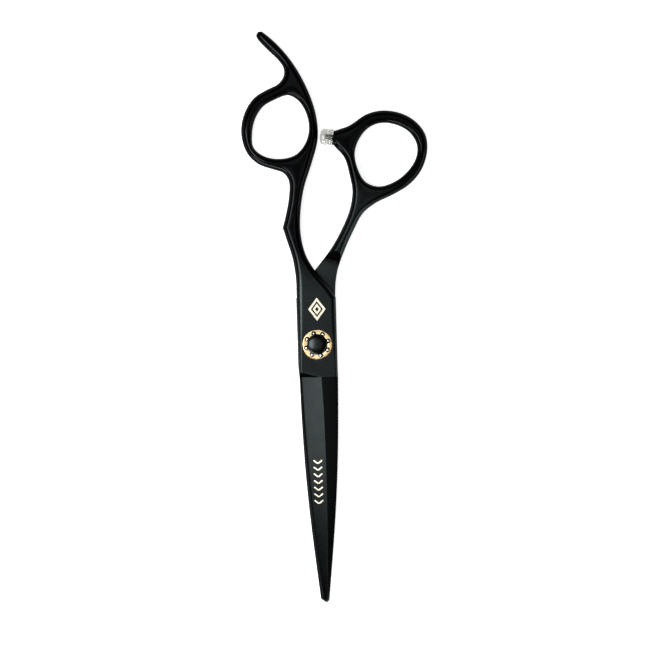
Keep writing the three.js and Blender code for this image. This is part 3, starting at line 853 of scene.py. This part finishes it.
boss_point = (*BOSS_FACE, MIDDLE)
bumper_way = (*BUMPER_AXIS, 0)
bumper = turned("clear_bumper", rounded([
    (0, 2.6), (1.1, 2.6), (1.1, 0.15), (2.4, 0.15), (2.7, 0.45), (2.7, 1.15), (2.42, 1.35), (2.42, 1.5), (2.7, 1.72),
    (2.7, 2.8), (2.55, 3.3), (2.15, 3.72), (1.5, 4.02), (0.75, 4.16), (0, 4.2)], 0.14, 4), 96, boss_point, bumper_way)
stud = turned("bumper_stud_pin", rounded([
    (0, -3.8), (1.0, -3.8), (1.0, 0.9), (0.75, 1.1), (0.75, 1.4), (1.0, 1.6), (0.7, 2.45), (0, 2.45)], 0.08),
    64, boss_point, bumper_way)
stud_bore = turned("cutter", [(0, -4), (1.1, -4), (1.1, 3), (0, 3)], 64, boss_point, bumper_way)
combine(thumb_half, stud_bore, "DIFFERENCE")
beyond = turned("cutter", [(0, 0), (8, 0), (8, 6), (0, 6)], 64, boss_point, bumper_way)
combine(thumb_half, beyond, "DIFFERENCE")
tidied(thumb_half, 0.002)

# ---- Etched ornament ----

MARK_RISE, MARK_DEPTH = 0.012, 0.03  # how far a mark stands proud of the surface, and goes into it


def diamond(name, centre, outer, inner):
    """A flat lozenge outline let into the pivot plate."""
    vertices = [(centre[0] + x * size[0], centre[1] + y * size[1], z)
                for size in (outer, inner) for z in (STACK + MARK_RISE, STACK - MARK_DEPTH)
                for x, y in ((1, 0), (0, 1), (-1, 0), (0, -1))]
    faces = []
    for i in range(4):
        j = (i + 1) % 4
        faces += [[i, i + 4, j + 4, j], [i, j, j + 8, i + 8],
                  [i + 4, i + 12, j + 12, j + 4], [i + 8, j + 8, j + 12, i + 12]]
    return edit(made(name, vertices, faces))


def stroke_on_facet(name, form, start, end, width, steps=8):
    """A straight etched stroke that follows the finger blade's wide facet."""
    start, end = np.array(start, float), np.array(end, float)
    side = np.array([-(end - start)[1], (end - start)[0]])
    side = side / np.linalg.norm(side) * width / 2
    outline = [(offset, MARK_RISE) for offset in (-1, 0, 1)] + [(offset, -MARK_DEPTH) for offset in (1, 0, -1)]
    vertices = []
    for k in range(steps + 1):
        for offset, rise in outline:
            x, y = start + (end - start) * k / steps + side * offset
            low, _, ridge_x, ridge, _ = form.at(y)
            height = facet_height((x - low) / (ridge_x - low), ridge, ridge_x - low)
            vertices.append((x, y, INNER + height + rise))
    faces = [[k * 6 + i, k * 6 + (i + 1) % 6, (k + 1) * 6 + (i + 1) % 6, (k + 1) * 6 + i]
             for k in range(steps) for i in range(6)]
    faces += [list(range(6)), [steps * 6 + i for i in reversed(range(6))]]
    return edit(made(name, vertices, faces))


def join(name, parts):
    """Several parts' meshes as one object."""
    shape = bmesh.new()
    for part in parts:
        shape.from_mesh(part.data)
        bpy.data.objects.remove(part)
    mesh = bpy.data.meshes.new(name)
    shape.to_mesh(mesh)
    shape.free()
    part = bpy.data.objects.new(name, mesh)
    bpy.context.scene.collection.objects.link(part)
    return part


LOZENGE_AT = (0.2, 11.3)
lozenge = join("etched_lozenge", [
    diamond("a", LOZENGE_AT, (2.8, 3.7), (1.96, 2.59)), diamond("b", LOZENGE_AT, (1.35, 1.78), (0.62, 0.82))])
strokes = []
for k in range(7):
    y = -37.3 - 2.15 * k
    strokes.append(stroke_on_facet("s", finger_form, (-2.3, y), (-0.95, y - 1.05), 0.42))
    strokes.append(stroke_on_facet("s", finger_form, (0.4, y), (-0.85, y - 1.02), 0.42))
chevrons = join("etched_chevrons", strokes)

# ---- Materials ----


class Nodes:
    """A material's node tree, built one node at a time."""

    def __init__(self, name):
        self.material = bpy.data.materials.new(name)
        self.material.use_nodes = True
        self.tree = self.material.node_tree
        self.tree.nodes.clear()
        output = self.tree.nodes.new("ShaderNodeOutputMaterial")
        self.shader = self.tree.nodes.new("ShaderNodeBsdfPrincipled")
        self.tree.links.new(self.shader.outputs[0], output.inputs[0])
        self.place = self.add("ShaderNodeTexCoord").outputs["Object"]

    def add(self, kind, settings=None, **inputs):
        node = self.tree.nodes.new(kind)
        for key, value in (settings or {}).items():
            setattr(node, key, value)
        for key, value in inputs.items():
            self.put(node.inputs[int(key[1:]) if key[1:].isdigit() else key.replace("_", " ")], value)
        return node

    def put(self, socket, value):
        if isinstance(value, bpy.types.NodeSocket):
            self.tree.links.new(value, socket)
        else:
            socket.default_value = value

    def set(self, name, value):
        self.put(self.shader.inputs[name], value)

    def noise(self, scale, detail=4.0, roughness=0.55, stretch=(1, 1, 1), where=None):
        """Noise from 0 to 1, with features about 1 / scale across, in millimetres or in the units of where."""
        unit = MM if where is None else 1
        mapping = self.add("ShaderNodeMapping", Vector=where or self.place,
                           Scale=tuple(scale * along / unit for along in stretch))
        return self.add("ShaderNodeTexNoise", Vector=mapping.outputs[0], Scale=1.0, Detail=detail,
                        Roughness=roughness).outputs["Fac"]

    def range(self, value, low, high, to_low=0.0, to_high=1.0):
        """The value's place between low and high, smoothly from to_low to to_high."""
        return self.add("ShaderNodeMapRange", {"interpolation_type": "SMOOTHSTEP"},
                        Value=value, From_Min=low, From_Max=high, To_Min=to_low, To_Max=to_high).outputs[0]

    def math(self, operation, a, b=0.0):
        return self.add("ShaderNodeMath", {"operation": operation}, _0=a, _1=b).outputs[0]

    def mix(self, factor, a, b):
        node = self.add("ShaderNodeMix", {"data_type": "RGBA"})
        for index, value in ((0, factor), (6, a), (7, b)):
            self.put(node.inputs[index], (*value, 1.0) if isinstance(value, tuple) else value)
        return node.outputs[2]

    def blend(self, factor, a, b):
        return self.add("ShaderNodeMix", {"data_type": "FLOAT"}, _0=factor, _2=a, _3=b).outputs[0]

    def shade(self, value, dark, light, low=0.35, high=0.65):
        """Sets the base colour to run from dark to light with the value."""
        self.set("Base Color", self.mix(self.range(value, low, high), dark, light))

    def wear(self):
        return self.add("ShaderNodeAttribute", {"attribute_name": "wear"}).outputs["Fac"]

    def axis(self, letter):
        return self.add("ShaderNodeSeparateXYZ", Vector=self.place).outputs["XYZ".index(letter)]

    def radius(self):
        """Distance in metres from the pivot's axis."""
        flat = self.add("ShaderNodeVectorMath", {"operation": "MULTIPLY"}, _0=self.place, _1=(1, 1, 0))
        return self.add("ShaderNodeVectorMath", {"operation": "LENGTH"}, _0=flat.outputs[0]).outputs["Value"]

    def bump(self, height, strength, distance):
        """A bump from a 0 to 1 height, that deep in millimetres."""
        self.set("Normal", self.add("ShaderNodeBump", Height=height, Strength=strength,
                                    Distance=distance * MM).outputs[0])


def scaled(color, factor):
    return tuple(factor * c for c in color)


def coated(name, start, end, polished_shade_tone, tone=1.0):
    """Black vapour coating: satin on the plates and blades, and polished past the change from start to end. The
    polished colour is far darker than the satin, a painted shade for the dark surroundings that the polish reflects;
    a tone below 1 darkens the satin colour, also as painted shade.
    """
    n = Nodes(name)
    along = n.axis("Y")
    handle = n.range(along, start * MM, end * MM)
    clouds = n.noise(0.09, 3.0)
    fine = n.noise(3.2, 5.0)
    brushed = n.noise(1.0, 4.0, 0.6, (0.5, 9.0, 1.0))
    # a tone below 1 darkens the satin as painted shade
    satin = n.mix(n.range(clouds, 0.35, 0.65), scaled((0.0165, 0.0200, 0.0203), tone),
                  scaled((0.0195, 0.0232, 0.0235), tone))
    # painted shade: the polished handles take a colour far darker than the satin
    polished = n.mix(n.range(clouds, 0.35, 0.65), scaled(polished_shade_tone, 0.9), scaled(polished_shade_tone, 1.1))
    color = n.mix(handle, satin, polished)
    worn = n.math("MULTIPLY", n.wear(), n.range(fine, 0.38, 0.62, 0.35, 1.0))
    color = n.mix(n.math("MULTIPLY", worn, 0.5), color, (0.035, 0.037, 0.039))
    n.set("Base Color", color)
    n.set("Metallic", 1.0)
    n.set("Specular Tint", (0.5, 0.5, 0.5, 1.0))
    rough = n.blend(handle, n.range(brushed, 0.3, 0.7, 0.25, 0.31), n.range(fine, 0.3, 0.7, 0.13, 0.18))
    n.set("Roughness", n.math("ADD", rough, n.math("MULTIPLY", worn, 0.06)))
    n.bump(n.math("ADD", n.math("MULTIPLY", brushed, 0.6), n.math("MULTIPLY", fine, 0.4)),
           n.blend(handle, 0.22, 0.1), 0.006)
    return n.material


def turned_metal(name, dark, light, low_rough, high_rough, groove=14.0):
    """Metal turned on a lathe: fine rings round its axis, and slow clouds."""
    n = Nodes(name)
    rings_at = n.add("ShaderNodeCombineXYZ", X=n.math("MULTIPLY", n.radius(), 1 / MM),
                     Y=n.math("MULTIPLY", n.axis("Z"), 1 / MM))
    rings = n.noise(groove, 3.0, 0.6, where=rings_at.outputs[0])
    clouds = n.noise(0.5, 3.0)
    n.shade(n.math("ADD", n.math("MULTIPLY", rings, 0.4), n.math("MULTIPLY", clouds, 0.6)), dark, light)
    n.set("Metallic", 1.0)
    n.set("Roughness", n.range(clouds, 0.3, 0.7, low_rough, high_rough))
    n.bump(rings, 0.25, 0.006)
    return n.material


def painted_shade_black(name):
    """Near-black with no specular reflection: painted shade for the milled steps, whose walls lie in shadow."""
    n = Nodes(name)
    fine = n.noise(4.0, 4.0)
    n.shade(fine, (0.0007, 0.0008, 0.0008), (0.0014, 0.0015, 0.0015))
    n.set("Roughness", n.range(fine, 0.3, 0.7, 0.5, 0.62))
    n.set("Specular IOR Level", 0.0)
    n.bump(fine, 0.3, 0.01)
    return n.material


def paint_cage_shade(part):
    """Gives the cage's pocket walls and its outer edge a dark brown copy of the gold, as painted shade."""
    part.data.materials.append(gold_painted_shade)
    for face in part.data.polygons:
        if abs(face.normal.z) < 0.85 or math.hypot(face.center.x, face.center.y) / MM > CAGE_HIGH[0] - CAGE_EDGE:
            face.material_index = 1


def paint_blade_shade(part, side):
    """Puts painted shade on a half: near-black on its V step walls and round step, and a darker copy of the coat on
    its wide facet. side is 1 for the finger half.
    """
    part.data.materials.append(painted_step_shade)
    part.data.materials.append(facet_shaded_coat)
    for face in part.data.polygons:
        x, y, z = face.center / MM
        normal = face.normal * side
        step = relief_height(x * side, y) - (z if side > 0 else STACK - z)
        # the round step and the V walls take the near-black painted shade
        shaded_round_step = y > 20 and abs(step) < 0.05 and face.normal.y < -0.34
        if shaded_round_step or (NOTCH_LOW < y < NOTCH_HIGH and face.normal.y < -0.5 and abs(face.normal.z) < 0.8):
            face.material_index = 1
        # the wide facet, which faces the key light, takes the darker coat as painted shade
        elif y < NOTCH_HIGH and normal.z > 0.5 and normal.x < -0.2:
            face.material_index = 2


def clear_rubber(name):
    """Slightly clouded clear silicone."""
    n = Nodes(name)
    clouds = n.noise(0.7, 3.0)
    fine = n.noise(6.0, 3.0)
    n.shade(clouds, (0.52, 0.53, 0.50), (0.66, 0.67, 0.63))
    n.set("Roughness", n.range(fine, 0.3, 0.7, 0.12, 0.24))
    n.set("Transmission Weight", 0.88)
    n.set("IOR", 1.41)
    n.set("Coat Weight", 0.3)
    n.set("Coat Roughness", 0.08)
    n.bump(clouds, 0.2, 0.03)
    return n.material


def etched(name, tone=1.0):
    """Bare bright metal where the coat is etched away."""
    n = Nodes(name)
    fine = n.noise(9.0, 4.0)
    n.shade(fine, scaled((0.74, 0.68, 0.55), tone), scaled((0.86, 0.80, 0.66), tone))
    n.set("Metallic", 0.9)
    n.set("Roughness", n.range(fine, 0.3, 0.7, 0.32, 0.42))
    n.bump(fine, 0.4, 0.01)
    return n.material


def plastic(name, dark, light, rough):
    """Matt moulded plastic."""
    n = Nodes(name)
    clouds = n.noise(0.8, 4.0)
    n.shade(clouds, dark, light)
    n.set("Roughness", n.range(clouds, 0.3, 0.7, rough, rough + 0.12))
    n.bump(n.noise(5.0, 4.0), 0.2, 0.01)
    return n.material


# the polished handle colours given here are painted shade, far darker than the satin
finger_coat = coated("black coat", 16, 34, (0.0068, 0.0071, 0.0077))
thumb_coat = coated("black coat of the thumb half", 38, 56, (0.0062, 0.0067, 0.0070))
# painted shade: the coat at under half its satin tone, for the wide facets that face the key light
facet_shaded_coat = coated("black coat darkened on the wide facets as painted shade", 16, 34, (0.0062, 0.0067, 0.0070), 0.47)
# painted shade: near-black for the V step walls and the round step, where shadow falls
painted_step_shade = painted_shade_black("black painted shade of the steps")
black_polish = turned_metal("black polish", (0.0185, 0.0220, 0.0222), (0.0230, 0.0270, 0.0272), 0.24, 0.29, 9.0)
# painted shade: dark brown copy of the gold for the cage's pocket walls and outer edge
gold_painted_shade = turned_metal("gold plate with painted shade", (0.16, 0.070, 0.020), (0.26, 0.125, 0.040), 0.36, 0.46, 11.0)
gold = turned_metal("gold plate", (0.97, 0.71, 0.36), (1.0, 0.84, 0.55), 0.24, 0.32, 11.0)
# painted shade: the race under the balls is near-black so that the gaps round the balls look shadowed
race_painted_shade = turned_metal("race steel darkened as painted shade", (0.020, 0.016, 0.011), (0.034, 0.027, 0.019), 0.42, 0.52)
steel = turned_metal("steel", (0.55, 0.56, 0.57), (0.68, 0.69, 0.70), 0.22, 0.30)
stud_steel = turned_metal("dark stud steel", (0.10, 0.10, 0.095), (0.17, 0.17, 0.16), 0.26, 0.34)
ball_steel = turned_metal("ball steel", (0.78, 0.78, 0.77), (0.88, 0.88, 0.87), 0.20, 0.26, 1.0)
bronze = turned_metal("bronze", (0.36, 0.22, 0.10), (0.46, 0.29, 0.14), 0.32, 0.42)
silicone = clear_rubber("clear silicone")
polymer = plastic("polymer", (0.74, 0.72, 0.66), (0.84, 0.82, 0.76), 0.42)
etching = etched("etching")
faint_etching = etched("faint etching", 0.62)

for part, material, angle, body, nodes, slot in (
        (finger_half, finger_coat, 27, "finger_half", ["finger_blade"], "black_coat"),
        (thumb_half, thumb_coat, 27, "thumb_half", ["thumb_blade"], "black_coat"),
        (barrel, black_polish, 35, "thumb_half", ["pivot_barrel"], "black_polish"),
        (cage, gold, 30, "ball_cage", ["ball_cage"], "gold"),
        (cup, race_painted_shade, 30, "finger_half", ["bearing_cup"], "steel"),
        (screw, steel, 30, "tension_screw", ["tension_screw"], "steel"),
        (spring, steel, 30, "thumb_half", ["spring_washer"], "steel"),
        (ride, polymer, 30, "thumb_half", ["ride_washer"], "polymer"),
        (bush, bronze, 30, "finger_half", ["pivot_bush"], "bronze"),
        (bumper, silicone, 40, "thumb_half", ["bumper"], "silicone"),
        (stud, stud_steel, 30, "thumb_half", ["bumper_stud"], "steel"),
        (lozenge, etching, 30, "finger_half", [], "steel"),
        (chevrons, faint_etching, 30, "finger_half", [], "steel")):
    mark_wear(part)
    smooth(part, angle)
    part.data.materials.clear()
    part.data.materials.append(material)
    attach(part, body)
    if nodes:
        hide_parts(*nodes)
paint_blade_shade(finger_half, 1)
paint_blade_shade(thumb_half, -1)
paint_cage_shade(cage)
for i, part in enumerate(balls):
    smooth(part, 60)
    part.data.materials.append(ball_steel)
    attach(part, "ball_cage")
    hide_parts(f"bearing_ball_{i + 1}")

# ---- Floor, light and camera ----

scene = bpy.context.scene
VIEW_AT = Vector((1.88, 6.97, 4.0)) * MM
VIEW_UP = Vector((0.0292, 0.9996, 0))
VIEW_WIDTH = 0.2076
VIEW_DISTANCE = 1.2

FLOOR_REACH, FLOOR_TOP = 900, -0.02
corners = [(x * FLOOR_REACH, y * FLOOR_REACH, FLOOR_TOP) for x, y in ((-1, -1), (1, -1), (1, 1), (-1, 1))]
floor = made("floor", corners, [(0, 1, 2, 3)])
n = Nodes("pale floor")
n.shade(n.noise(0.02, 2.0), (0.80, 0.80, 0.80), (0.83, 0.83, 0.83), 0.3, 0.7)
n.set("Roughness", 0.9)
n.set("Emission Color", (1, 1, 1, 1))
n.set("Emission Strength", 0.85)
floor.data.materials.append(n.material)


def area_light(name, place, size, power):
    """A rectangular light that faces the shears' middle."""
    light = bpy.data.lights.new(name, "AREA")
    light.shape = "RECTANGLE"
    light.size, light.size_y = size
    light.energy = power
    lamp = bpy.data.objects.new(name, light)
    lamp.location = place
    lamp.rotation_euler = (Vector((0, 0.01, 0)) - Vector(place)).to_track_quat("-Z", "Y").to_euler()
    lamp.visible_camera = False
    scene.collection.objects.link(lamp)


area_light("key", (-0.108, 0.014, 0.18), (0.14, 0.12), 0.50)
area_light("streak", (-0.295, -0.512, 0.10), (0.55, 0.09), 4.2)
area_light("right", (0.50, -0.22, 0.09), (0.5, 0.12), 1.1)

world = bpy.data.worlds.new("studio")
scene.world = world
world.use_nodes = True
tree = world.node_tree
background = tree.nodes["Background"]
coordinates = tree.nodes.new("ShaderNodeTexCoord")
split = tree.nodes.new("ShaderNodeSeparateXYZ")
fade = tree.nodes.new("ShaderNodeValToRGB")
for stop in fade.color_ramp.elements[1:]:
    fade.color_ramp.elements.remove(stop)
SKY_STRENGTH = 2.0
SKY = ((0.0, 0.12), (0.25, 0.05), (0.80, 0.02), (0.94, 0.06),  # upward part of the direction, and brightness
       (0.965, 0.5), (0.980, 0.75), (0.990, 0.45), (0.996, 0.1))
fade.color_ramp.elements[0].position = SKY[0][0]
fade.color_ramp.elements[0].color = (SKY[0][1],) * 3 + (1,)
for height, level in SKY[1:]:
    fade.color_ramp.elements.new(height).color = (level,) * 3 + (1,)
tree.links.new(coordinates.outputs["Generated"], split.inputs[0])
tree.links.new(split.outputs["Z"], fade.inputs[0])
tree.links.new(fade.outputs[0], background.inputs[0])
background.inputs[1].default_value = SKY_STRENGTH

camera_data = bpy.data.cameras.new("camera")
camera_data.lens = camera_data.sensor_width * VIEW_DISTANCE / VIEW_WIDTH
camera_data.clip_end = 10
camera = bpy.data.objects.new("camera", camera_data)
back = Vector((0, 0, 1))
right = VIEW_UP.cross(back)
camera.matrix_world = Matrix.Translation(VIEW_AT + back * VIEW_DISTANCE) @ Matrix(
    (right, VIEW_UP, back)).transposed().to_4x4()
scene.collection.objects.link(camera)
scene.camera = camera
scene.view_settings.view_transform = "Standard"

bpy.context.view_layer.update()
